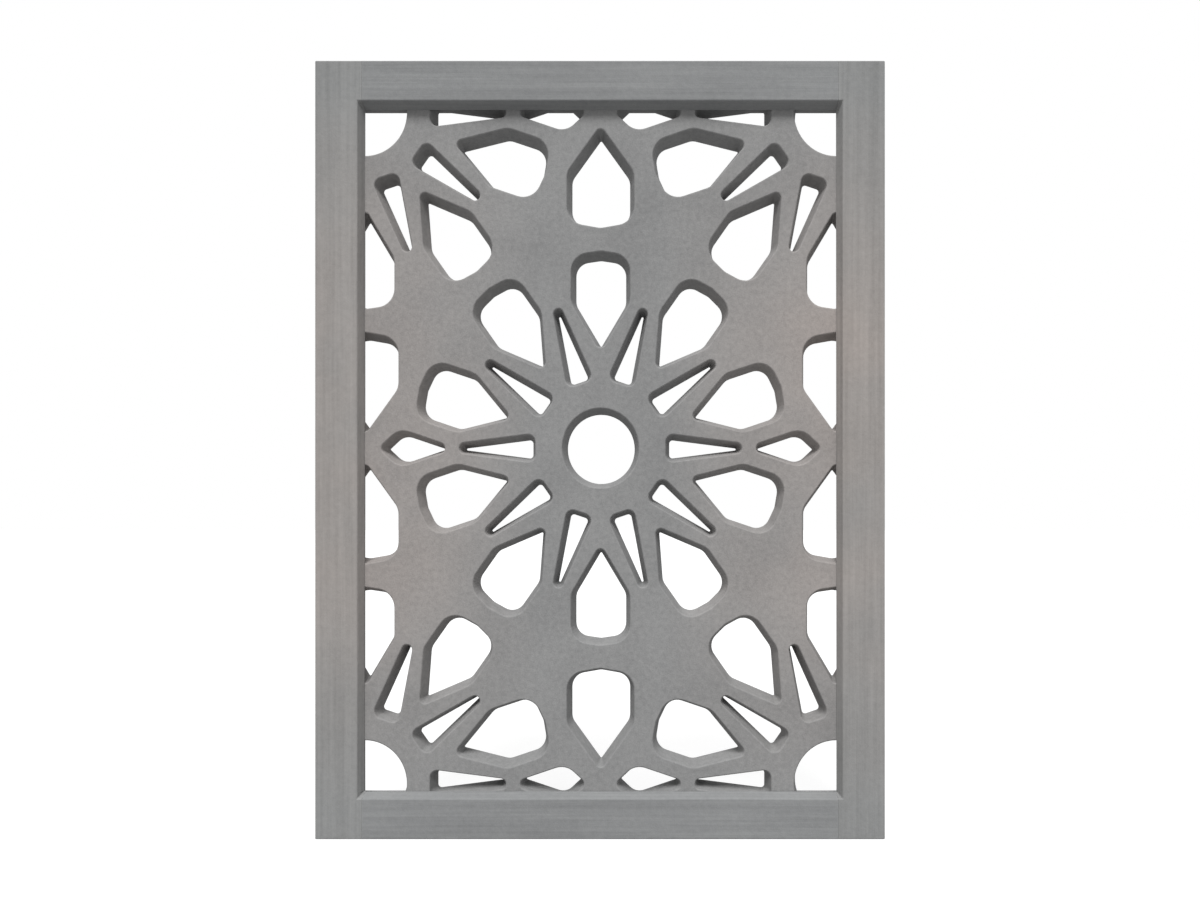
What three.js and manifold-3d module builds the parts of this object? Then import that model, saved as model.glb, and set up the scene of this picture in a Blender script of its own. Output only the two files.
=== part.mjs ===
// Pierced star-pattern screen: a cast slab with a ten-fold geometric pattern right through
// it, seated in a rebated surround of two stiles and two rails. Every opening is wider at
// the face than at the back, as the mould's cores have to be to draw out of the cast.
//
// Millimetres, +X to the right, +Z up. The face of the screen looks along -Y.
// The origin is the middle of the underside of the surround, where it beds on a sill.
import * as THREE from 'three';
import { mergeVertices } from 'three/addons/utils/BufferGeometryUtils.js';
import Module from 'manifold-3d';

// ---- Surround ----
const WIDTH = 732;             // over the two stiles
const HEIGHT = 1000;           // underside to top
const DEPTH = 42;              // face to back
const STILE_FACE = 54;         // width of a stile seen from the front
const TOP_RAIL_FACE = 51;
const BOTTOM_RAIL_FACE = 52;
const LIP_DEPTH = 14;          // the slab's face lies this far behind the surround's face
const LIP_SPLAY = 6;           // the lip draws the opening in by this from the face to the slab
const LIP_WIDTH = 16;          // how far the surround laps over the slab
const BEHIND_LIP = 8;          // how far cut-off openings run on behind the lip
const JOINT_GAP = 0.3;         // mortar-thin gap between pieces that touch

// ---- Pattern ----
// Every opening is set out from the centre of a rosette (a ten-pointed star round a round
// hole) or of a knot (the long hexagon between rosettes). Lengths run outward from there, to
// the sharp corners that the outline at the face would have if they weren't rounded.
const FOLD = 10;                          // points of a rosette
const STEP = (2 * Math.PI) / FOLD;        // angle from one slit to the next
const CONTACT = 189.5;                    // rosette centre to where its ribs cross
const DRAWN_OUT = 1.035;                  // the pattern is drawn out upward to fill the height
const PATTERN_LIFT = 3;                   // its centre stands this far above the opening's
const TAPER = 6;                          // the outline draws in by this from face to back
const TIP_FILLET = 7;                     // rounding, at the face, of an opening's narrow ends
const HEEL_FILLET = 10;                   // rounding, at the face, of a slit's wide end
const CORNER_FILLET = 24;                 // rounding, at the face, of its open corners

const HUB_RADIUS = { middle: 50, corner: 55 };
const PETAL = { tip: 120, shoulder: 183, corner: 242, end: 247.5, halfWidth: 38.7 };
const SLIT = { start: 84.5, end: 234, halfWidth: 18.5 };
const DROP = { tip: 16.4, shoulder: 75.5, corner: 138, end: 145.5, halfWidth: 44 };
const LOZENGE = { start: 18, widest: 45, tip: 120, halfWidth: 24.5 };

// ---- Finishes ----
const CAST_GREY = { color: 0x8f8f8e, roughness: 0.92, metalness: 0 };
const STILE_GREY = { color: 0x999592, roughness: 0.9, metalness: 0 };
const RAIL_GREY = { color: 0x8b8c8d, roughness: 0.9, metalness: 0 };

// The opening in the surround, at the slab.
const stileWidth = STILE_FACE + LIP_SPLAY;
const bottomRailHeight = BOTTOM_RAIL_FACE + LIP_SPLAY;
const topRailHeight = TOP_RAIL_FACE + LIP_SPLAY;
const openingWidth = WIDTH - 2 * stileWidth;
const openingHeight = HEIGHT - topRailHeight - bottomRailHeight;
const openingCentreZ = bottomRailHeight + openingHeight / 2;
const slabDepth = DEPTH - LIP_DEPTH;
const frontY = -DEPTH / 2;
const slabFaceY = frontY + LIP_DEPTH;
const PAST = 20;               // how far a plain cutting block runs past what it cuts
const RUN_ON = 2;              // how far a tapered one runs on, still tapering

const wasm = await Module();
wasm.setup();

// A closed three.js geometry as a solid that can be joined and cut.
function toSolid(geometry) {
  const bare = geometry.clone();
  bare.deleteAttribute('normal');
  bare.deleteAttribute('uv');
  const merged = mergeVertices(bare, 1e-4);
  const vertProperties = new Float32Array(merged.attributes.position.array);
  const triVerts = new Uint32Array(merged.index.array);
  return new wasm.Manifold(new wasm.Mesh({ numProp: 3, vertProperties, triVerts }));
}

// The solid back as a three.js geometry.
function toGeometry(solid) {
  const cut = solid.getMesh();
  const geometry = new THREE.BufferGeometry();
  geometry.setAttribute('position', new THREE.BufferAttribute(new Float32Array(cut.vertProperties), 3));
  geometry.setIndex(new THREE.BufferAttribute(new Uint32Array(cut.triVerts), 1));
  geometry.computeVertexNormals();
  return geometry;
}

// A block between two corners.
function block(low, high) {
  const size = high.map((value, i) => value - low[i]);
  const geometry = new THREE.BoxGeometry(...size);
  geometry.translate(...high.map((value, i) => (value + low[i]) / 2));
  return toSolid(geometry);
}

// ---- Outlines of the openings, drawn along +X from the centre they are set out from ----
// Each takes how far it is drawn in from the outline at the face. Its round corners keep
// their centres, so they turn into cones through the slab.

// A closed outline whose corners are rounded by true arcs. Each corner is [x, y, fillet].
function roundedOutline(corners, drawnIn) {
  const outline = new THREE.Shape();
  corners.forEach(([x, y, fillet], i) => {
    const here = new THREE.Vector2(x, y);
    const before = new THREE.Vector2(...corners.at(i - 1).slice(0, 2)).sub(here).normalize();
    const after = new THREE.Vector2(...corners[(i + 1) % corners.length].slice(0, 2)).sub(here).normalize();
    const halfAngle = Math.acos(THREE.MathUtils.clamp(before.dot(after), -1, 1)) / 2;
    const inward = before.clone().add(after).normalize();
    const centre = here.clone().addScaledVector(inward, fillet / Math.sin(halfAngle));
    const reach = fillet / Math.tan(halfAngle);
    const first = here.clone().addScaledVector(before, reach).sub(centre).angle();
    const last = here.clone().addScaledVector(after, reach).sub(centre).angle();
    outline.absarc(centre.x, centre.y, fillet - drawnIn, first, last, false);
  });
  outline.closePath();
  return outline;
}

// The long six-sided opening of a rosette and, tip inward, of a knot.
const petalOutline = ({ tip, shoulder, corner, end, halfWidth }) => (drawnIn) => roundedOutline([
  [tip, 0, TIP_FILLET],
  [shoulder, -halfWidth, CORNER_FILLET],
  [corner, -halfWidth, CORNER_FILLET],
  [end, 0, CORNER_FILLET],
  [corner, halfWidth, CORNER_FILLET],
  [shoulder, halfWidth, CORNER_FILLET],
], drawnIn);

// The thin wedge between two ribs of a rosette.
const slitOutline = ({ start, end, halfWidth }) => (drawnIn) => roundedOutline([
  [start, -halfWidth, HEEL_FILLET],
  [end, 0, TIP_FILLET],
  [start, halfWidth, HEEL_FILLET],
], drawnIn);

// The kite in each end of a knot, its long point towards the rosette.
const lozengeOutline = ({ start, widest, tip, halfWidth }) => (drawnIn) => roundedOutline([
  [start, 0, TIP_FILLET],
  [widest, -halfWidth, CORNER_FILLET],
  [tip, 0, TIP_FILLET],
  [widest, halfWidth, CORNER_FILLET],
], drawnIn);

const hubOutline = (radius) => (drawnIn) => (
  new THREE.Shape().absarc(0, 0, radius - drawnIn, 0, 2 * Math.PI, false)
);

// A closed solid from one outline to another farther back. A section is its y and its points.
function loft(sections) {
  const positions = sections.flatMap(({ y, points }) => points.flatMap(([x, z]) => [x, y, z]));
  const around = sections[0].points.length;
  const triangles = [];
  for (let i = 0; i < around; i += 1) {
    const next = (i + 1) % around;
    triangles.push(i, i + around, next + around);
    triangles.push(i, next + around, next);
    if (i > 0 && next > 0) {
      triangles.push(0, i, next);
      triangles.push(around, next + around, i + around);
    }
  }
  const geometry = new THREE.BufferGeometry();
  geometry.setAttribute('position', new THREE.Float32BufferAttribute(positions, 3));
  geometry.setIndex(triangles);
  return toSolid(geometry);
}

// The solid that cuts one opening: its outline at the face carried back through the slab to
// its smaller outline at the back. The outline is turned about the centre it belongs to and
// drawn out with the pattern.
function cutter(outlineDrawnIn, curveSegments, turn, centre) {
  const slope = TAPER / slabDepth;
  const placed = (outline) => {
    // An outline's last point closes it on its first.
    const points = outline.getPoints(curveSegments).slice(0, -1);
    return points.map((point) => {
      point.rotateAround(new THREE.Vector2(), turn).add(centre);
      return [point.x, openingCentreZ + PATTERN_LIFT + point.y * DRAWN_OUT];
    });
  };
  return loft([
    { y: slabFaceY - RUN_ON, points: placed(outlineDrawnIn(-slope * RUN_ON)) },
    { y: -frontY + RUN_ON, points: placed(outlineDrawnIn(TAPER + slope * RUN_ON)) },
  ]);
}

const HUB_SEGMENTS = 24;       // chords in half of a hub's circle
const FILLET_SEGMENTS = 2;     // half the chords in each rounded corner

// A rosette: the hub, ten slits, and ten petals between them.
function rosette(centre, hubRadius) {
  const cutters = [cutter(hubOutline(hubRadius), HUB_SEGMENTS, 0, centre)];
  for (let k = 0; k < FOLD; k += 1) {
    cutters.push(cutter(slitOutline(SLIT), FILLET_SEGMENTS, k * STEP, centre));
    cutters.push(cutter(petalOutline(PETAL), FILLET_SEGMENTS, (k + 0.5) * STEP, centre));
  }
  return cutters;
}

// A knot: a lozenge to each side, and a drop above and below.
function knot(centre) {
  const cutters = [];
  for (const turn of [0, Math.PI]) {
    cutters.push(cutter(lozengeOutline(LOZENGE), FILLET_SEGMENTS, turn, centre));
    cutters.push(cutter(petalOutline(DROP), FILLET_SEGMENTS, turn + Math.PI / 2, centre));
  }
  return cutters;
}

// Rosettes stand petal to petal along lines halfway between upright and level, at one and a
// half steps: one in the middle of the opening and one near each corner. Knots fill the
// four places between them.
function openings() {
  const spacing = (2 * CONTACT) / Math.tan(STEP);
  const across = spacing * Math.cos(1.5 * STEP);
  const up = spacing * Math.sin(1.5 * STEP);
  const cutters = rosette(new THREE.Vector2(0, 0), HUB_RADIUS.middle);
  for (const side of [-1, 1]) {
    cutters.push(...knot(new THREE.Vector2(side * across, 0)));
    cutters.push(...knot(new THREE.Vector2(0, side * up)));
    for (const end of [-1, 1]) {
      cutters.push(...rosette(new THREE.Vector2(side * across, end * up), HUB_RADIUS.corner));
    }
  }
  return cutters;
}

// ---- Pieces ----

// The corners of the opening in the surround, or of one that much larger all round.
function openingCorners(grow) {
  const halfWidth = openingWidth / 2 + grow;
  const halfHeight = openingHeight / 2 + grow;
  const corners = [[-1, -1], [1, -1], [1, 1], [-1, 1]];
  return corners.map(([x, z]) => [x * halfWidth, openingCentreZ + z * halfHeight]);
}

// A block through that opening, which may grow by different amounts at its two ends.
function openingBlock(nearY, nearGrow, farY, farGrow = nearGrow) {
  return loft([
    { y: nearY, points: openingCorners(nearGrow) },
    { y: farY, points: openingCorners(farGrow) },
  ]);
}

// The slab, with every opening that shows inside the surround cut through it. The openings
// stop just behind the lip, so a plain margin is left for the rebate to hold.
function piercedSlab() {
  const clear = openingBlock(frontY - PAST, BEHIND_LIP, -frontY + PAST);
  let slab = openingBlock(slabFaceY + JOINT_GAP, LIP_WIDTH - JOINT_GAP, -frontY);
  for (const opening of openings()) {
    const shown = opening.intersect(clear);
    if (!shown.isEmpty()) {
      slab = slab.subtract(shown);
    }
  }
  return toGeometry(slab);
}

// One member of the surround: its block less the opening, which is splayed in front of the
// slab, and the rebate behind the lip.
function member(low, high) {
  const slope = LIP_SPLAY / LIP_DEPTH;
  const splay = openingBlock(frontY - RUN_ON, LIP_SPLAY + slope * RUN_ON, slabFaceY, 0);
  const opening = openingBlock(frontY, 0, -frontY + PAST);
  const rebate = openingBlock(slabFaceY, LIP_WIDTH, -frontY + PAST);
  return toGeometry(block(low, high).subtract(splay).subtract(opening).subtract(rebate));
}

const halfWidth = WIDTH / 2;
const jointX = halfWidth - stileWidth;
const pieces = [
  ['pierced_slab', piercedSlab(), CAST_GREY],
  ['left_stile', member([-halfWidth, frontY, 0], [-jointX, -frontY, HEIGHT]), STILE_GREY],
  ['right_stile', member([jointX, frontY, 0], [halfWidth, -frontY, HEIGHT]), STILE_GREY],
];
const railEnd = jointX - JOINT_GAP;
const bottomRail = member([-railEnd, frontY, 0], [railEnd, -frontY, bottomRailHeight]);
const topRail = member([-railEnd, frontY, HEIGHT - topRailHeight], [railEnd, -frontY, HEIGHT]);
pieces.push(['bottom_rail', bottomRail, RAIL_GREY]);
pieces.push(['top_rail', topRail, RAIL_GREY]);

const screen = new THREE.Group();
for (const [name, geometry, finish] of pieces) {
  const mesh = new THREE.Mesh(geometry, new THREE.MeshStandardMaterial(finish));
  mesh.name = name;
  screen.add(mesh);
}

export default screen;
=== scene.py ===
# %% [markdown]
# # A pierced star-pattern window screen
#
# This screen is a cast cement slab with a ten-fold star pattern right through it, held in
# a plain surround of two stiles and two rails whose inner edge is splayed. It is built into
# a wall opening, where it breaks up the sun and the view. This lesson takes the solid model
# as a fixed frame and gives every piece its eased edges and its finish.
#
# We start with the frame. Everything is in metres, with Z up and the face towards -Y.

# %% Load the frame
import math

import bmesh
import bpy
from mathutils import Matrix, Vector


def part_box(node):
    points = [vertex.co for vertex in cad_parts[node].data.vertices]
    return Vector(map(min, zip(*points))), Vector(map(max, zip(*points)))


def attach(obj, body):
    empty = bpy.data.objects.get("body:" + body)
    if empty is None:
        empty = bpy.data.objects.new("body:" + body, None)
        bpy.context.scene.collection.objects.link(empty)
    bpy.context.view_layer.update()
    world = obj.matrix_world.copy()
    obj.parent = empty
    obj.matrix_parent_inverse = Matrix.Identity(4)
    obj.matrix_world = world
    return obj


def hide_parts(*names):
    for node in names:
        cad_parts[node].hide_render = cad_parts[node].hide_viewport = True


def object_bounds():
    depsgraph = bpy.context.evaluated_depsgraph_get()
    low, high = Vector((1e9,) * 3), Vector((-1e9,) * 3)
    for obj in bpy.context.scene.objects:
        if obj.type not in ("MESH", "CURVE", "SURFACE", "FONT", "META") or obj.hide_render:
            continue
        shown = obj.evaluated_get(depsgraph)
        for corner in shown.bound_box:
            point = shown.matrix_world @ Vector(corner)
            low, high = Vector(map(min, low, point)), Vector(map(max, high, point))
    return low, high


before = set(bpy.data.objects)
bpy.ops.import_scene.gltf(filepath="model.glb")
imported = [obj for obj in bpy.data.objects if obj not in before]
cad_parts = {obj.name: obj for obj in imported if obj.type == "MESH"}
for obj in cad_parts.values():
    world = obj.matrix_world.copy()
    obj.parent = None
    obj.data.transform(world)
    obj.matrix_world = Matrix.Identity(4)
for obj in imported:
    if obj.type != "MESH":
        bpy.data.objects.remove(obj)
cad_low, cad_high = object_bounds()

MM = 0.001
print("frame nodes:", sorted(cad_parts))
print("over all, mm:", [round(side / MM, 1) for side in cad_high - cad_low])

# %% [markdown]
# The places of the other pieces come from the frame's boxes: the window between the stiles
# and rails, at the slab, and the slab's face and back. Only the sizes of the pattern itself
# are given here as numbers. A rosette is a ten-pointed star round a round hole. A knot is the long
# hexagon left between rosettes. Every opening is set out from the centre of one of them.

# %% Sizes of the window, the slab and the pattern
window_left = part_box("left_stile")[1].x
window_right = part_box("right_stile")[0].x
window_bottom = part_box("bottom_rail")[1].z
window_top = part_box("top_rail")[0].z
slab_low, slab_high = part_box("pierced_slab")
slab_thickness = slab_high.y - slab_low.y

POINTS_OF_STAR = 10
CONTACT = 189.5 * MM        # rosette centre to where its ribs cross
DRAWN_OUT = 1.035           # the pattern is drawn out upward to fill the height
PATTERN_LIFT = 3 * MM       # its centre stands this far above the window's
TAPER = 6 * MM              # each opening draws in by this, all round, from face to back
TIP_FILLET = 7 * MM
HEEL_FILLET = 10 * MM       # at the wide end of a slit
CORNER_FILLET = 24 * MM
MIDDLE_HUB = 50 * MM
CORNER_HUB = 55 * MM
BEHIND_LIP = 8 * MM         # how far cut-off openings run on behind the surround's lip
CORNER_SLANT = 1.5          # steps of a star from level up to the line towards a corner

window_width = window_right - window_left
window_height = window_top - window_bottom
window_centre = Vector((window_left + window_right, 0, window_bottom + window_top)) / 2
pattern_centre = window_centre + Vector((0, 0, PATTERN_LIFT))
print("window, mm:", round(window_width / MM), "x", round(window_height / MM))
print("slab thickness, mm:", round(slab_thickness / MM, 1))

# %% [markdown]
# A caster makes such a slab over cores, one for each opening, which draw out of the cast
# when it has set. So each opening is wider at the face than at the back, and its arrises
# are slightly round, because cement never fills a knife-sharp corner.
#
# We make the cores first. A core is a loft: one outline, drawn in by a little more at each
# section through the slab. Corners are arcs which keep their centres, so they become cones.

# %% Outlines of the openings
FILLET_CHORDS = 8
HUB_CHORDS = 96


def rounded_outline(corners, drawn_in):
    """Points round an outline with filleted corners. A corner is (x, z, fillet at the face)."""
    points = []
    for i, (x, z, fillet) in enumerate(corners):
        here = Vector((x, z))
        before = (Vector(corners[i - 1][:2]) - here).normalized()
        after = (Vector(corners[(i + 1) % len(corners)][:2]) - here).normalized()
        half_angle = before.angle(after) / 2
        centre = here + (before + after).normalized() * fillet / math.sin(half_angle)
        first = here + before * fillet / math.tan(half_angle) - centre
        turn = math.pi - 2 * half_angle
        for step in range(FILLET_CHORDS + 1):
            spoke = first.copy()
            spoke.rotate(Matrix.Rotation(turn * step / FILLET_CHORDS, 2))
            points.append(centre + spoke * (fillet - drawn_in) / fillet)
    return points


def round_outline(radius, drawn_in):
    """Points round a circle."""
    turns = [math.tau * step / HUB_CHORDS for step in range(HUB_CHORDS)]
    return [Vector((math.cos(turn), math.sin(turn))) * (radius - drawn_in) for turn in turns]


def petal_outline(tip, shoulder, corner, end, half_width):
    """The long six-sided opening, tip towards the centre it is set out from."""
    return [
        (tip, 0, TIP_FILLET),
        (shoulder, -half_width, CORNER_FILLET),
        (corner, -half_width, CORNER_FILLET),
        (end, 0, CORNER_FILLET),
        (corner, half_width, CORNER_FILLET),
        (shoulder, half_width, CORNER_FILLET),
    ]


def slit_outline(start, end, half_width):
    """The thin wedge between two ribs of a rosette."""
    return [(start, -half_width, HEEL_FILLET), (end, 0, TIP_FILLET), (start, half_width, HEEL_FILLET)]


def lozenge_outline(start, widest, tip, half_width):
    """The kite in each end of a knot, its long point towards the rosette."""
    return [
        (start, 0, TIP_FILLET),
        (widest, -half_width, CORNER_FILLET),
        (tip, 0, TIP_FILLET),
        (widest, half_width, CORNER_FILLET),
    ]


def filleted(corners):
    """The rule for a filleted outline: how far it is drawn in gives its points."""
    return lambda drawn_in: rounded_outline(corners, drawn_in)


OUTLINES = {
    "petal": filleted(petal_outline(120 * MM, 183 * MM, 242 * MM, 247.5 * MM, 38.7 * MM)),
    "slit": filleted(slit_outline(84.5 * MM, 234 * MM, 18.5 * MM)),
    "drop": filleted(petal_outline(16.4 * MM, 75.5 * MM, 138 * MM, 145.5 * MM, 44 * MM)),
    "lozenge": filleted(lozenge_outline(18 * MM, 45 * MM, 120 * MM, 24.5 * MM)),
    "middle_hub": lambda drawn_in: round_outline(MIDDLE_HUB, drawn_in),
    "corner_hub": lambda drawn_in: round_outline(CORNER_HUB, drawn_in),
}
for name, outline in OUTLINES.items():
    print(name, "has", len(outline(0)), "points round it")

# %% Sections of a core, face to back
ARRIS = 1.6 * MM            # radius of the eased arrises round every opening
ARRIS_STEPS = (0.35, 0.87, 1.4)     # angles along the quarter round, in radians
FLARE = 0.5 * MM            # how far a core runs on past the face and the back


def arris_profile():
    """(depth, widening) pairs of one rounded arris, from just outside the surface inward."""
    profile = [(ARRIS * (1 - math.cos(t)), ARRIS * (1 - math.sin(t))) for t in ARRIS_STEPS]
    first_depth, first_widening = profile[0]
    slope = 1 / math.tan(ARRIS_STEPS[0])
    return [(-FLARE, first_widening + slope * (first_depth + FLARE))] + profile


def core_sections():
    """(y, drawn in) of every section of a core."""
    rim = arris_profile()
    near = [(depth, -widening) for depth, widening in rim]
    far = [(slab_thickness - depth, -widening) for depth, widening in reversed(rim)]
    sections = []
    for depth, drawn_in in near + far:
        sections.append((slab_low.y + depth, drawn_in + TAPER * depth / slab_thickness))
    return sections


def core(name, outline):
    """A closed core as an object, lofted through its sections."""
    shape = bmesh.new()
    rings = []
    for y, drawn_in in core_sections():
        rings.append([shape.verts.new((p.x, y, p.y)) for p in outline(drawn_in)])
    for near, far in zip(rings, rings[1:]):
        for i in range(len(near)):
            shape.faces.new((near[i - 1], near[i], far[i], far[i - 1]))
    shape.faces.new(rings[0])
    shape.faces.new(list(reversed(rings[-1])))
    bmesh.ops.recalc_face_normals(shape, faces=shape.faces)
    mesh = bpy.data.meshes.new(name + "_core")
    shape.to_mesh(mesh)
    shape.free()
    made = bpy.data.objects.new(name + "_core", mesh)
    bpy.context.scene.collection.objects.link(made)
    return made


cores = {name: core(name, outline) for name, outline in OUTLINES.items()}
print("a core has", len(core_sections()), "sections;", len(cores), "kinds of core")

# %% [markdown]
# ## Setting out the pattern with Geometry Nodes
#
# The pattern follows a rule, so nodes can set it out: ten slits and ten petals turned
# round each rosette, two lozenges and two drops in each knot, then rosettes and knots on
# a grid. The slab is a plain block, and the cores are cut from it where they show in the
# window, so a plain margin is left to be held in the rebate.
#
# A small helper keeps the node trees readable. It makes a node, sets it and links it.


# %% A helper for node trees
def add(tree, kind, inputs=None, **settings):
    """Adds a node. Each input is a value, a socket to link, or a list of sockets."""
    made = tree.nodes.new(kind)
    for setting, value in settings.items():
        setattr(made, setting, value)
    for socket_name, value in (inputs or {}).items():
        socket = made.inputs[socket_name]
        for one in value if isinstance(value, list) else [value]:
            if isinstance(one, bpy.types.NodeSocket):
                tree.links.new(one, socket)
            else:
                socket.default_value = one
    return made


def sum_up(tree, operation, first, second=None):
    """One Math node's result."""
    values = {0: first} if second is None else {0: first, 1: second}
    return add(tree, "ShaderNodeMath", values, operation=operation).outputs[0]


def times(tree, first, second):
    return sum_up(tree, "MULTIPLY", first, second)


def plus(tree, first, second):
    return sum_up(tree, "ADD", first, second)


print("helpers: add, sum_up, times, plus")

# %% The tree that sets out the pattern and cuts the slab
INPUTS = {
    "Contact": "NodeSocketFloat",
    "Points of a star": "NodeSocketInt",
    "Drawn out": "NodeSocketFloat",
    "Window": "NodeSocketVector",
    "Window centre": "NodeSocketVector",
    "Pattern centre": "NodeSocketVector",
    "Slab": "NodeSocketVector",
    "Slab centre": "NodeSocketVector",
    "Finish": "NodeSocketMaterial",
}
INPUTS.update({name: "NodeSocketObject" for name in cores})

pattern_tree = bpy.data.node_groups.new("Pierced slab", "GeometryNodeTree")
for name, kind in INPUTS.items():
    pattern_tree.interface.new_socket(name, in_out="INPUT", socket_type=kind)
pattern_tree.interface.new_socket("Geometry", in_out="OUTPUT", socket_type="NodeSocketGeometry")
given = pattern_tree.nodes.new("NodeGroupInput").outputs


def core_geometry(name):
    return add(pattern_tree, "GeometryNodeObjectInfo", {"Object": given[name]}).outputs["Geometry"]


def ring_of(instance, count, first_turn):
    """The instance, count times round a centre, turned in the plane of the slab."""
    tree = pattern_tree
    points = add(tree, "GeometryNodePoints", {"Count": count}).outputs[0]
    index = add(tree, "GeometryNodeInputIndex").outputs[0]
    step = sum_up(tree, "DIVIDE", -math.tau, count)
    turn = times(tree, plus(tree, index, first_turn), step)
    spin = add(tree, "ShaderNodeCombineXYZ", {"Y": turn}).outputs[0]
    placed = {"Points": points, "Instance": instance, "Rotation": spin}
    return add(tree, "GeometryNodeInstanceOnPoints", placed).outputs[0]


def joined(parts):
    return add(pattern_tree, "GeometryNodeJoinGeometry", {"Geometry": parts}).outputs[0]


def star(hub_name):
    """A rosette: a hub, its slits, and its petals half a turn-step further round."""
    count = given["Points of a star"]
    slits = ring_of(core_geometry("slit"), count, 0.0)
    petals = ring_of(core_geometry("petal"), count, 0.5)
    return joined([core_geometry(hub_name), slits, petals])


print("tree inputs:", ", ".join(INPUTS))

# %% Rosettes and knots on their grid
tree = pattern_tree
star_step = sum_up(tree, "DIVIDE", math.tau, given["Points of a star"])
between_centres = times(tree, given["Contact"], 2.0)
spacing = sum_up(tree, "DIVIDE", between_centres, sum_up(tree, "TANGENT", star_step))
slant = times(tree, star_step, CORNER_SLANT)
across = times(tree, spacing, sum_up(tree, "COSINE", slant))
up = times(tree, spacing, sum_up(tree, "SINE", slant))


def on_four_places(instance, first_turn, reach):
    """The instance at four places: on the axes, or in the corners where first_turn is a half."""
    index = add(tree, "GeometryNodeInputIndex").outputs[0]
    turn = times(tree, plus(tree, index, first_turn), math.pi / 2)
    x = times(tree, times(tree, across, reach), sum_up(tree, "COSINE", turn))
    z = times(tree, times(tree, up, reach), sum_up(tree, "SINE", turn))
    place = add(tree, "ShaderNodeCombineXYZ", {"X": x, "Z": z}).outputs[0]
    points = add(tree, "GeometryNodePoints", {"Count": 4, "Position": place}).outputs[0]
    return add(tree, "GeometryNodeInstanceOnPoints", {"Points": points, "Instance": instance}).outputs[0]


lozenges = ring_of(core_geometry("lozenge"), 2, 0.0)
drops = ring_of(core_geometry("drop"), 2, 0.5)
knots = on_four_places(joined([lozenges, drops]), 0.0, 1.0)
corner_stars = on_four_places(star("corner_hub"), 0.5, math.sqrt(2))
every_core = joined([star("middle_hub"), knots, corner_stars])
realized = add(tree, "GeometryNodeRealizeInstances", {"Geometry": every_core}).outputs[0]

stretch = add(tree, "ShaderNodeCombineXYZ", {"X": 1.0, "Y": 1.0, "Z": given["Drawn out"]}).outputs[0]
lift = {"Geometry": realized, "Translation": given["Pattern centre"], "Scale": stretch}
placed_cores = add(tree, "GeometryNodeTransform", lift).outputs[0]


def block(size, centre):
    cube = add(tree, "GeometryNodeMeshCube", {"Size": size}).outputs["Mesh"]
    return add(tree, "GeometryNodeTransform", {"Geometry": cube, "Translation": centre}).outputs[0]


window_block = block(given["Window"], given["Window centre"])
in_window = {1: [placed_cores, window_block]}
shown = add(tree, "GeometryNodeMeshBoolean", in_window, operation="INTERSECT").outputs[0]
plain_slab = block(given["Slab"], given["Slab centre"])
less_cores = {0: plain_slab, 1: shown}
cut = add(tree, "GeometryNodeMeshBoolean", less_cores, operation="DIFFERENCE").outputs[0]
whole = add(tree, "GeometryNodeRealizeInstances", {"Geometry": cut}).outputs[0]
finished = add(tree, "GeometryNodeSetMaterial", {"Geometry": whole, "Material": given["Finish"]}).outputs[0]
add(tree, "NodeGroupOutput", {"Geometry": finished})
print("the tree has", len(tree.nodes), "nodes")

# %% [markdown]
# ## The finishes
#
# All five pieces are bare cast cement, matt and mid grey. What makes cement look real is
# small: sand grain about a millimetre across, cloudy patches a hand wide where it dried
# unevenly, a few pinholes left by air, and arrises rubbed a little paler; painted shade
# darkens the inner corners. Each of these is a shader group, built once and used in every finish.


# %% Shader groups: the start of one
def shader_group(name, inputs, outputs):
    """An empty shader group with named inputs (name: start value) and outputs (name: kind)."""
    group = bpy.data.node_groups.new(name, "ShaderNodeTree")
    for socket_name, value in inputs.items():
        kind = "NodeSocketVector" if value is None else "NodeSocketFloat"
        socket = group.interface.new_socket(socket_name, in_out="INPUT", socket_type=kind)
        if value is not None:
            socket.default_value = value
    for socket_name in outputs:
        group.interface.new_socket(socket_name, in_out="OUTPUT", socket_type="NodeSocketFloat")
    return group, group.nodes.new("NodeGroupInput").outputs


def ramp(tree, value, low, high, to_low=0.0, to_high=1.0):
    """The value, mapped from low..high to to_low..to_high and held there."""
    settings = {"Value": value, "From Min": low, "From Max": high, "To Min": to_low, "To Max": to_high}
    return add(tree, "ShaderNodeMapRange", settings).outputs[0]


def noise(tree, place, scale, detail=3.0, roughness=0.55):
    settings = {"Vector": place, "Scale": scale, "Detail": detail, "Roughness": roughness}
    return add(tree, "ShaderNodeTexNoise", settings).outputs[0]


print("helpers: shader_group, ramp, noise")

# %% Cast grain
SPECKLE_SHARE = 0.23        # a speckle's scale, as a share of the sand's
PINHOLE_SHARE = 0.11
SAND_IN_TONE = 0.3          # the sand's part in the tone; speckle and clouds have the rest
CLOUDS_IN_TONE = 0.35
PINHOLE_DEPTH = 2.0         # against the sand's relief

grain_group, grain_in = shader_group(
    "Cast grain",
    {"Place": None, "Sand per metre": 700.0, "Clouds per metre": 9.0, "Pinholes": 0.5},
    ["Tone", "Pinhole", "Height"],
)
tree = grain_group
sand_scale = grain_in["Sand per metre"]
sand = noise(tree, grain_in["Place"], sand_scale, detail=2.0)
speckle = noise(tree, grain_in["Place"], times(tree, sand_scale, SPECKLE_SHARE))
clouds = noise(tree, grain_in["Place"], grain_in["Clouds per metre"], detail=4.0)
grains = plus(tree, times(tree, sand, SAND_IN_TONE), times(tree, speckle, CLOUDS_IN_TONE))
tone = plus(tree, grains, times(tree, clouds, CLOUDS_IN_TONE))

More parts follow.
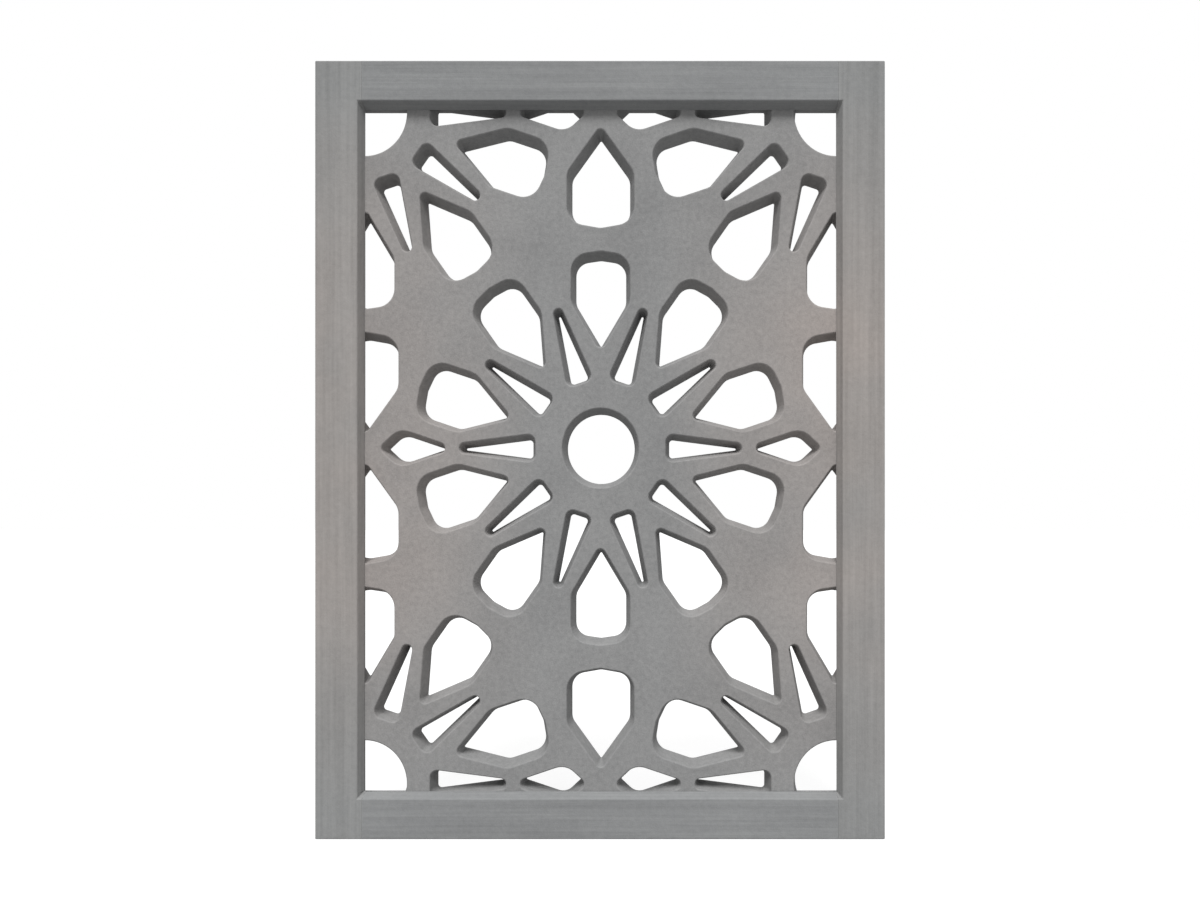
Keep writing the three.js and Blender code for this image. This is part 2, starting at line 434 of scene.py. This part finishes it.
pin_place = {"Vector": grain_in["Place"], "Scale": times(tree, sand_scale, PINHOLE_SHARE)}
cells = add(tree, "ShaderNodeTexVoronoi", pin_place).outputs
has_hole = ramp(tree, cells["Color"], 0.86, 0.9)       # about one cell in eight
hole = ramp(tree, cells["Distance"], 0.09, 0.05)
pinhole = times(tree, times(tree, hole, has_hole), grain_in["Pinholes"])
soft_relief = plus(tree, times(tree, sand, 0.5), speckle)
height = sum_up(tree, "SUBTRACT", soft_relief, times(tree, pinhole, PINHOLE_DEPTH))
add(tree, "NodeGroupOutput", {"Tone": tone, "Pinhole": pinhole, "Height": height})
print("Cast grain:", len(tree.nodes), "nodes")

# %% Arris wear and painted recess shade
WEAR_BREAKS = 45.0          # patches of wear per metre
SHADE_BREAKS = 60.0

wear_group, wear_in = shader_group(
    "Arris wear",
    {"Width": 2.5 * MM, "Patchiness": 0.5, "Place": None},
    ["Wear"],
)
tree = wear_group
rounded = add(tree, "ShaderNodeBevel", {"Radius": wear_in["Width"]}, samples=6).outputs[0]
facing = add(tree, "ShaderNodeNewGeometry").outputs["Normal"]
both_normals = {0: rounded, 1: facing}
likeness = add(tree, "ShaderNodeVectorMath", both_normals, operation="DOT_PRODUCT").outputs["Value"]
edge = ramp(tree, likeness, 0.995, 0.86)
patches = ramp(tree, noise(tree, wear_in["Place"], WEAR_BREAKS), 0.35, 0.65)
kept = sum_up(tree, "SUBTRACT", 1.0, times(tree, wear_in["Patchiness"], patches))
add(tree, "NodeGroupOutput", {"Wear": times(tree, edge, kept)})

# Painted shade: ambient occlusion darkens the colour in recesses and inner corners, where shade falls;
# noise breaks it up.
recess_shade_group, recess_shade_in = shader_group("Painted recess shade", {"Reach": 12 * MM, "Place": None}, ["Painted shade"])
tree = recess_shade_group
reach = {"Distance": recess_shade_in["Reach"]}
openness = add(tree, "ShaderNodeAmbientOcclusion", reach, samples=8).outputs["AO"]
shelter = ramp(tree, openness, 0.75, 0.3)
broken = ramp(tree, noise(tree, recess_shade_in["Place"], SHADE_BREAKS), 0.3, 0.6)
add(tree, "NodeGroupOutput", {"Painted shade": times(tree, shelter, broken)})
print("Arris wear:", len(wear_group.nodes), "nodes; Painted recess shade:", len(tree.nodes), "nodes")

# %% [markdown]
# The surround's members were run along their length with a template while the mix was
# soft, which leaves faint streaks: along the stiles up and down, along the rails across.
# The same noise does both once its place is squeezed along the member.

# %% Run streaks
streak_group, streak_in = shader_group(
    "Run streaks",
    {"Place": None, "Streaks per metre": 260.0},
    ["Streak", "Height"],
)
tree = streak_group
fine = noise(tree, streak_in["Place"], streak_in["Streaks per metre"], detail=2.0)
broad_scale = times(tree, streak_in["Streaks per metre"], 0.25)
broad = noise(tree, streak_in["Place"], broad_scale, detail=2.0)
streaks = plus(tree, times(tree, fine, 0.5), times(tree, broad, 0.5))
add(tree, "NodeGroupOutput", {"Streak": streaks, "Height": streaks})
print("Run streaks:", len(tree.nodes), "nodes")

# %% [markdown]
# The cement is a little warmer and paler in patches to both sides of the middle, at mid
# height. Distance from the two middle lines gives the place, and a broad noise breaks it up.

# %% Warm patches
warm_group, warm_in = shader_group(
    "Warm patches",
    {"Place": None, "Patches per metre": 4.0},
    ["Warmth"],
)
tree = warm_group
split = add(tree, "ShaderNodeSeparateXYZ", {0: warm_in["Place"]}).outputs
beside = ramp(tree, sum_up(tree, "ABSOLUTE", split["X"]), 0.08, 0.3)
above_middle = sum_up(tree, "SUBTRACT", split["Z"], pattern_centre.z)
level = ramp(tree, sum_up(tree, "ABSOLUTE", above_middle), 0.46, 0.16)
broad_patches = noise(tree, warm_in["Place"], warm_in["Patches per metre"])
clouded = ramp(tree, broad_patches, 0.3, 0.65, 0.35, 1.0)
add(tree, "NodeGroupOutput", {"Warmth": times(tree, times(tree, beside, level), clouded)})
print("Warm patches:", len(tree.nodes), "nodes")


# %% One cement finish
def mixed(tree, share, first, second, blend="MIX"):
    """Two colours mixed by a share. Each is a plain colour or a socket."""
    node = add(tree, "ShaderNodeMix", {"Factor": share}, data_type="RGBA", blend_type=blend)
    colours = [socket for socket in node.inputs if socket.type == "RGBA"]
    for socket, colour in zip(colours, (first, second)):
        if isinstance(colour, bpy.types.NodeSocket):
            tree.links.new(colour, socket)
        else:
            socket.default_value = (*colour, 1)
    return [socket for socket in node.outputs if socket.type == "RGBA"][0]


STREAKS_IN_TONE = 0.45      # streaks' part in the tone of a run member; grain has the rest
STREAK_RELIEF = 1.5         # against the grain's
GRAIN_RELIEF = 0.5 * MM
WORN_PALER = 1.22
WEAR_COVER = 0.5
# Painted shade in recesses: how much darker, and how much of it; the same darker grey also fills the
# pinholes.
SHADE_AND_PINHOLE_DARKER = 0.62
SHADE_COVER = 0.45
PINHOLE_COVER = 0.8


def cement(name, dark, light, warm_tint, along=None):
    """A matt cement finish, warmed by a tint in patches; along streaks it that way."""
    finish = bpy.data.materials.new(name)
    finish.use_nodes = True
    tree = finish.node_tree
    shader = tree.nodes["Principled BSDF"]
    place = add(tree, "ShaderNodeTexCoord").outputs["Object"]
    grain = add(tree, "ShaderNodeGroup", node_tree=grain_group)
    wear = add(tree, "ShaderNodeGroup", node_tree=wear_group)
    recess_shade = add(tree, "ShaderNodeGroup", node_tree=recess_shade_group)
    warm = add(tree, "ShaderNodeGroup", node_tree=warm_group)
    for group in (grain, wear, recess_shade, warm):
        tree.links.new(place, group.inputs["Place"])

    tone = grain.outputs["Tone"]
    height = grain.outputs["Height"]
    if along is not None:
        squeezed = add(tree, "ShaderNodeMapping", {"Vector": place, "Scale": along}).outputs[0]
        streak = add(tree, "ShaderNodeGroup", {"Place": squeezed}, node_tree=streak_group)
        grain_tone = times(tree, tone, 1 - STREAKS_IN_TONE)
        tone = plus(tree, grain_tone, times(tree, streak.outputs["Streak"], STREAKS_IN_TONE))
        height = plus(tree, height, times(tree, streak.outputs["Height"], STREAK_RELIEF))

    colour = mixed(tree, ramp(tree, tone, 0.36, 0.64), dark, light)
    tinted = mixed(tree, 1.0, colour, warm_tint, "MULTIPLY")
    colour = mixed(tree, warm.outputs["Warmth"], colour, tinted)
    worn = [channel * WORN_PALER for channel in light]
    colour = mixed(tree, times(tree, wear.outputs["Wear"], WEAR_COVER), colour, worn)
    # Painted shade: the colour darkens where ambient occlusion finds a recess, and the same darker grey
    # fills the pinholes.
    shade_and_pinhole_grey = [channel * SHADE_AND_PINHOLE_DARKER for channel in dark]
    colour = mixed(tree, times(tree, recess_shade.outputs["Painted shade"], SHADE_COVER), colour, shade_and_pinhole_grey)
    colour = mixed(tree, times(tree, grain.outputs["Pinhole"], PINHOLE_COVER), colour, shade_and_pinhole_grey)
    tree.links.new(colour, shader.inputs["Base Color"])
    tree.links.new(ramp(tree, tone, 0.3, 0.7, 0.97, 0.84), shader.inputs["Roughness"])
    relief = {"Strength": 0.55, "Distance": GRAIN_RELIEF, "Height": height}
    bump = add(tree, "ShaderNodeBump", relief)
    tree.links.new(bump.outputs[0], shader.inputs["Normal"])
    shader.inputs["Specular IOR Level"].default_value = 0.25
    return finish


STREAK_SQUEEZE = 0.025      # how much shorter a streak's place runs along the member
WARM = (1.36, 1.22, 1.15)
SLAB_GREYS = (0.218, 0.219, 0.22), (0.307, 0.307, 0.306)
STILE_GREYS = (0.215, 0.218, 0.217), (0.297, 0.3, 0.299)
RAIL_GREYS = (0.208, 0.212, 0.215), (0.287, 0.292, 0.294)
upward = (1, 1, STREAK_SQUEEZE)
across_rail = (STREAK_SQUEEZE, 1, 1)

slab_finish = cement("cast_slab_grey", *SLAB_GREYS, WARM)
stile_finish = cement("stile_grey", *STILE_GREYS, WARM, along=upward)
rail_finish = cement("rail_grey", *RAIL_GREYS, WARM, along=across_rail)
print("finishes:", slab_finish.name, stile_finish.name, rail_finish.name)

# %% [markdown]
# ## The pierced slab
#
# Now the tree gets its sizes. A modifier's inputs are set by each socket's identifier.
# The result becomes a plain mesh before it takes the place of the frame's slab, and the
# cores are thrown away, as a caster would.

# %% Cut the slab
WINDOW_THROUGH = 0.2        # how deep the block that limits the cores is, face to back
MERGE = 0.01 * MM           # points closer than this are one
seed_mesh = bpy.data.meshes.new("slab_seed")
caster = bpy.data.objects.new("slab_seed", seed_mesh)
bpy.context.scene.collection.objects.link(caster)
casting = caster.modifiers.new("Pierced slab", "NODES")
casting.node_group = pattern_tree

slab_size = slab_high - slab_low
slab_centre = (slab_low + slab_high) / 2
chosen = {
    "Contact": CONTACT,
    "Points of a star": POINTS_OF_STAR,
    "Drawn out": DRAWN_OUT,
    "Window": (
        window_width + 2 * BEHIND_LIP,
        WINDOW_THROUGH,
        window_height + 2 * BEHIND_LIP,
    ),
    "Window centre": tuple(window_centre),
    "Pattern centre": tuple(pattern_centre),
    "Slab": tuple(slab_size),
    "Slab centre": tuple(slab_centre),
    "Finish": slab_finish,
}
chosen.update(cores)
for item in pattern_tree.interface.items_tree:
    if item.in_out == "INPUT":
        casting[item.identifier] = chosen[item.name]

caster.update_tag()
evaluated = caster.evaluated_get(bpy.context.evaluated_depsgraph_get())
slab_mesh = bpy.data.meshes.new_from_object(evaluated)
slab = bpy.data.objects.new("pierced_star_slab", slab_mesh)
bpy.context.scene.collection.objects.link(slab)
bpy.data.objects.remove(caster)
for used_core in cores.values():
    bpy.data.objects.remove(used_core)


def tidy_mesh(mesh):
    """Merges doubles and points every face outward. Returns the number of open edges."""
    shape = bmesh.new()
    shape.from_mesh(mesh)
    bmesh.ops.remove_doubles(shape, verts=shape.verts, dist=MERGE)
    bmesh.ops.recalc_face_normals(shape, faces=shape.faces)
    open_edges = sum(1 for e in shape.edges if len(e.link_faces) != 2)
    shape.to_mesh(mesh)
    shape.free()
    return open_edges


print("open edges left in the slab:", tidy_mesh(slab_mesh))
slab_mesh.materials.clear()
slab_mesh.materials.append(slab_finish)
slab_mesh.polygons.foreach_set("material_index", [0] * len(slab_mesh.polygons))
print("slab faces:", len(slab_mesh.polygons), "finish:", slab_mesh.materials[0].name)
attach(slab, "root")
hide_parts("pierced_slab")

# %% [markdown]
# ## The surround
#
# The two stiles run the full height and the rails fit between them, and together they
# carry the splayed lip that frames the slab. Their arrises are eased, except where a rail
# meets a stile, because there the mortar joint is struck flush. A copy of each frame node
# is merged, cut where the window's corners are, and bevelled along its sharp edges.

# %% Ease the members
EASE = 1.4 * MM
EASE_SEGMENTS = 3
JOINT_TOLERANCE = 0.6 * MM
SHARP = 0.5                 # radians between two faces that meet in an arris


def on_joint(edge):
    """Whether an edge lies on the joint between a rail and a stile."""
    a, b = (v.co for v in edge.verts)
    beside = [min(abs(p.x - window_left), abs(p.x - window_right)) < JOINT_TOLERANCE for p in (a, b)]
    same_side = abs(a.x - b.x) < JOINT_TOLERANCE
    middle = (a.z + b.z) / 2
    return all(beside) and same_side and not window_bottom < middle < window_top


def eased_member(node, name, finish):
    """A copy of a frame node with soft arrises, which stands for it."""
    shape = bmesh.new()
    shape.from_mesh(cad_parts[node].data)
    bmesh.ops.remove_doubles(shape, verts=shape.verts, dist=MERGE)
    bmesh.ops.dissolve_limit(shape, angle_limit=0.01, verts=shape.verts, edges=shape.edges)
    for level in (window_bottom, window_top):
        everything = shape.verts[:] + shape.edges[:] + shape.faces[:]
        bmesh.ops.bisect_plane(shape, geom=everything, plane_co=(0, 0, level), plane_no=(0, 0, 1))
    bmesh.ops.recalc_face_normals(shape, faces=shape.faces)
    sharp = [e for e in shape.edges if e.calc_face_angle(0) > SHARP and not on_joint(e)]
    bmesh.ops.bevel(
        shape, geom=sharp, offset=EASE, segments=EASE_SEGMENTS, profile=0.5, affect="EDGES"
    )
    bmesh.ops.recalc_face_normals(shape, faces=shape.faces)
    mesh = bpy.data.meshes.new(name)
    shape.to_mesh(mesh)
    shape.free()
    mesh.materials.clear()
    mesh.materials.append(finish)
    made = bpy.data.objects.new(name, mesh)
    bpy.context.scene.collection.objects.link(made)
    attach(made, "root")
    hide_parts(node)
    print(name, "has", len(mesh.polygons), "faces,", len(sharp), "arrises eased")
    return made


for node, finish in (
    ("left_stile", stile_finish),
    ("right_stile", stile_finish),
    ("bottom_rail", rail_finish),
    ("top_rail", rail_finish),
):
    eased_member(node, "eased_" + node, finish)

# %% [markdown]
# ## Floor, light and camera
#
# A pale floor and a white surround of light, as in a product studio. One soft light
# stands high in front, so the lip of the top rail throws a soft shadow on the slab and
# the undersides of the openings stay dark. The camera looks level from near the middle
# line and a little below mid height, and its lens is shifted, so upright edges stay upright.

# %% Floor and light
FLOOR_SIDE = 40.0
FLOOR_GREY = 0.3
FLOOR_GLOW = 0.78           # seen by the camera only, so the floor joins the white behind it
ROOM_LIGHT = 0.58
bpy.ops.mesh.primitive_plane_add(size=FLOOR_SIDE, location=(0, 0, cad_low.z))
floor = bpy.context.object
floor.name = "studio_floor"
floor_finish = bpy.data.materials.new("pale_floor")
floor_finish.use_nodes = True
floor_shader = floor_finish.node_tree.nodes["Principled BSDF"]
floor_shader.inputs["Base Color"].default_value = (FLOOR_GREY, FLOOR_GREY, FLOOR_GREY, 1)
floor_shader.inputs["Roughness"].default_value = 0.9
floor_shader.inputs["Emission Color"].default_value = (1, 1, 1, 1)
floor_seen = add(floor_finish.node_tree, "ShaderNodeLightPath").outputs["Is Camera Ray"]
floor_glow = ramp(floor_finish.node_tree, floor_seen, 0, 1, 0, FLOOR_GLOW)
floor_finish.node_tree.links.new(floor_glow, floor_shader.inputs["Emission Strength"])
floor.data.materials.append(floor_finish)

world = bpy.data.worlds.new("studio")
bpy.context.scene.world = world
world.use_nodes = True
backing = world.node_tree.nodes["Background"]
seen = add(world.node_tree, "ShaderNodeLightPath").outputs["Is Camera Ray"]
brightness = ramp(world.node_tree, seen, 0, 1, ROOM_LIGHT, 1.0)
world.node_tree.links.new(brightness, backing.inputs["Strength"])
backing.inputs["Color"].default_value = (1, 1, 1, 1)

middle = (cad_low + cad_high) / 2


def soft_sun(name, azimuth, elevation, softness, power):
    """An even soft light. Azimuth 0 comes from straight in front, and grows to the right."""
    lamp = bpy.data.lights.new(name, "SUN")
    lamp.angle = math.radians(softness)
    lamp.energy = power
    made = bpy.data.objects.new(name, lamp)
    a, e = math.radians(azimuth), math.radians(elevation)
    towards = Vector((math.sin(a) * math.cos(e), -math.cos(a) * math.cos(e), math.sin(e)))
    made.location = middle + towards * 3
    made.rotation_euler = towards.to_track_quat("Z", "Y").to_euler()
    bpy.context.scene.collection.objects.link(made)
    return made


soft_sun("high_front_light", azimuth=-6, elevation=54, softness=24, power=2.75)

# %% Camera
CAMERA_DISTANCE = 1.15      # from the surround's face
CAMERA_SIDE = 0.05          # right of the middle line
CAMERA_HEIGHT = 0.42        # above the floor
VIEW_WIDTH = 1.5405         # what the frame takes in at the surround's face
SENSOR = 36.0

lens = bpy.data.cameras.new("view")
lens.sensor_width = SENSOR
lens.lens = SENSOR * CAMERA_DISTANCE / VIEW_WIDTH
lens.shift_x = (middle.x - CAMERA_SIDE) / VIEW_WIDTH
lens.shift_y = (middle.z - CAMERA_HEIGHT) / VIEW_WIDTH
camera = bpy.data.objects.new("view", lens)
camera.location = (CAMERA_SIDE, cad_low.y - CAMERA_DISTANCE, CAMERA_HEIGHT)
camera.rotation_euler = (math.pi / 2, 0, 0)
bpy.context.scene.collection.objects.link(camera)
bpy.context.scene.camera = camera
bpy.context.scene.view_settings.view_transform = "Standard"
print("lens, mm:", round(lens.lens, 1), "shift:", round(lens.shift_x, 3), round(lens.shift_y, 3))
